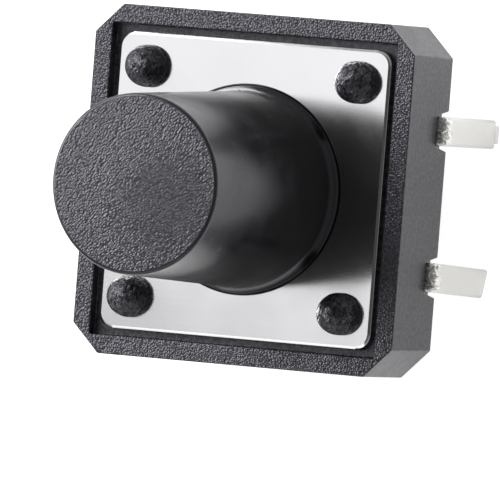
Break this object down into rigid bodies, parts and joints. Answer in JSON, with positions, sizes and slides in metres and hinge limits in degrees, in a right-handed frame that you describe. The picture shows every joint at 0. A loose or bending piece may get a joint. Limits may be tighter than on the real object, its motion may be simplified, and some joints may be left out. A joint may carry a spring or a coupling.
{
  "type": "tactile push button switch",
  "caption": "Square through-hole tactile push button switch with a tall round stem and a riveted steel cover plate; pressing the stem snaps a dome onto its contacts.",
  "frame": {"origin": "centre of the housing's underside, the face that seats on the circuit board", "axes": "+Z along the stem, away from the board; +X towards one row of pins, +Y along the pin row"},
  "size_m": [0.0128, 0.012, 0.0155],
  "materials": {
    "housing_plastic": "black glass-filled moulding, fine spark-eroded grain",
    "plunger_plastic": "black moulding, grained end face and smoother side",
    "plate_steel": "bright rolled stainless sheet",
    "spring_steel": "bright stainless spring strip",
    "tin_plate": "matt tin plating over brass strip"
  },
  "bodies": {
    "base": {"housing": "housing_plastic", "cover_plate": "plate_steel", "terminal_outer": "tin_plate", "terminal_centre": "tin_plate", "snap_dome": "spring_steel"},
    "button": {"plunger": "plunger_plastic"}
  },
  "joints": [
    {"name": "button_press", "type": "slide", "parent": "base", "child": "button", "axis": [0, 0, -1], "range_m": [0, 0.0003], "stiffness_N_per_m": 7000, "springref_m": -0.00005, "deforming": ["snap_dome"]}
  ]
}
